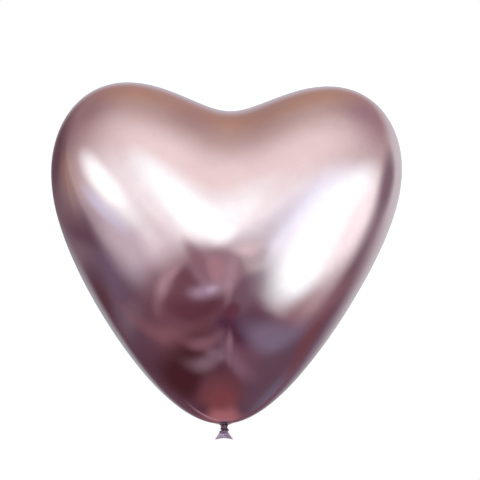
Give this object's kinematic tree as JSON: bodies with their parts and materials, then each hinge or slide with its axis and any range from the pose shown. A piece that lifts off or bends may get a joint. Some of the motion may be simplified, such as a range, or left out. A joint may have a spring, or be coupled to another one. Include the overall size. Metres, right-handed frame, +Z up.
{
  "type": "heart-shaped latex balloon",
  "caption": "Inflated heart-shaped latex balloon with a mirror-like metallic finish, closed by a knot at its tip with a short flared tail.",
  "frame": {"origin": "the middle of the neck, where a ribbon is tied", "axes": "+X across the lobes to the viewer's right, +Y from front to back, +Z up from the tip to the notch"},
  "size_m": [0.2998, 0.1766, 0.3044],
  "materials": {
    "metallic_latex": "stretched latex with a soft mirror-like metallic pink finish",
    "gathered_latex": "gathered latex, darker and less mirror-like, with fine creases",
    "unstretched_latex": "unstretched latex with a satin metallic sheen"
  },
  "bodies": {
    "balloon": {"envelope": "metallic_latex"},
    "throat": {"neck": "gathered_latex"},
    "knot": {"knot_core": "gathered_latex", "knot_wrap": "gathered_latex"},
    "tail": {"tail": "unstretched_latex", "mouth_bead": "unstretched_latex"}
  },
  "joints": [
    {"name": "knot_sway_side", "type": "hinge", "parent": "balloon", "child": "throat", "pos_m": [0, 0, 0.00219], "axis": [0, 1, 0], "range_deg": [-25, 25], "stiffness_Nm_per_rad": 0.0002},
    {"name": "knot_sway_front", "type": "hinge", "parent": "throat", "child": "knot", "pos_m": [0, 0, -0.0018], "axis": [1, 0, 0], "range_deg": [-20, 20], "stiffness_Nm_per_rad": 0.0001},
    {"name": "tail_bend", "type": "hinge", "parent": "knot", "child": "tail", "pos_m": [0, 0, -0.0049], "axis": [1, 0, 0], "range_deg": [-55, 55], "stiffness_Nm_per_rad": 0.00003}
  ]
}
